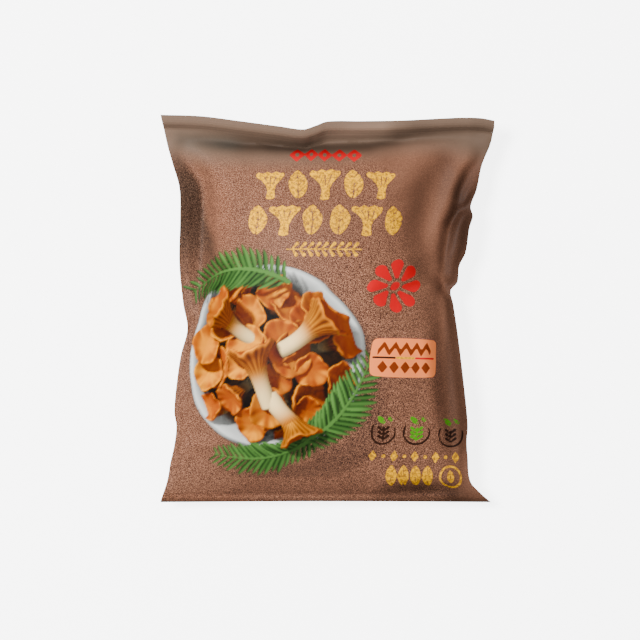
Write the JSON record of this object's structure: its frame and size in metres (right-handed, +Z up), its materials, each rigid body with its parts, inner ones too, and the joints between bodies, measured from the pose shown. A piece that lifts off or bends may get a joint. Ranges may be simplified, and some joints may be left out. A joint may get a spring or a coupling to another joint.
{
  "type": "pillow bag of frozen chanterelle mushrooms",
  "caption": "Sealed film pillow bag with crimped end seals and a fin seal down its back, lying on its back and filled with loose whole chanterelle mushrooms.",
  "frame": {"origin": "on the surface that the bag lies on, under the middle of its outline", "axes": "+X across the bag, +Y from the bottom seal to the top seal, +Z up, out of the printed front panel"},
  "size_m": [0.2, 0.232, 0.0581],
  "materials": {
    "film": "semi-matte printed film, copper brown with fine speckle",
    "mushroom": "matt fleshy skin, orange-yellow, paler on the stem"
  },
  "bodies": {
    "root": {"bag_film": "film", "chanterelle_01": "mushroom", "chanterelle_02": "mushroom", "chanterelle_03": "mushroom", "chanterelle_04": "mushroom", "chanterelle_05": "mushroom", "chanterelle_06": "mushroom", "chanterelle_07": "mushroom", "chanterelle_08": "mushroom", "chanterelle_09": "mushroom", "chanterelle_10": "mushroom", "chanterelle_11": "mushroom", "chanterelle_12": "mushroom", "chanterelle_13": "mushroom", "chanterelle_14": "mushroom", "chanterelle_15": "mushroom", "chanterelle_16": "mushroom", "chanterelle_17": "mushroom", "chanterelle_18": "mushroom", "chanterelle_19": "mushroom", "chanterelle_20": "mushroom", "chanterelle_21": "mushroom", "chanterelle_22": "mushroom", "chanterelle_23": "mushroom", "chanterelle_24": "mushroom", "chanterelle_25": "mushroom", "chanterelle_26": "mushroom", "chanterelle_27": "mushroom", "chanterelle_28": "mushroom", "chanterelle_29": "mushroom", "chanterelle_30": "mushroom", "chanterelle_31": "mushroom", "chanterelle_32": "mushroom", "chanterelle_33": "mushroom", "chanterelle_34": "mushroom", "chanterelle_35": "mushroom", "chanterelle_36": "mushroom"}
  },
  "joints": []
}
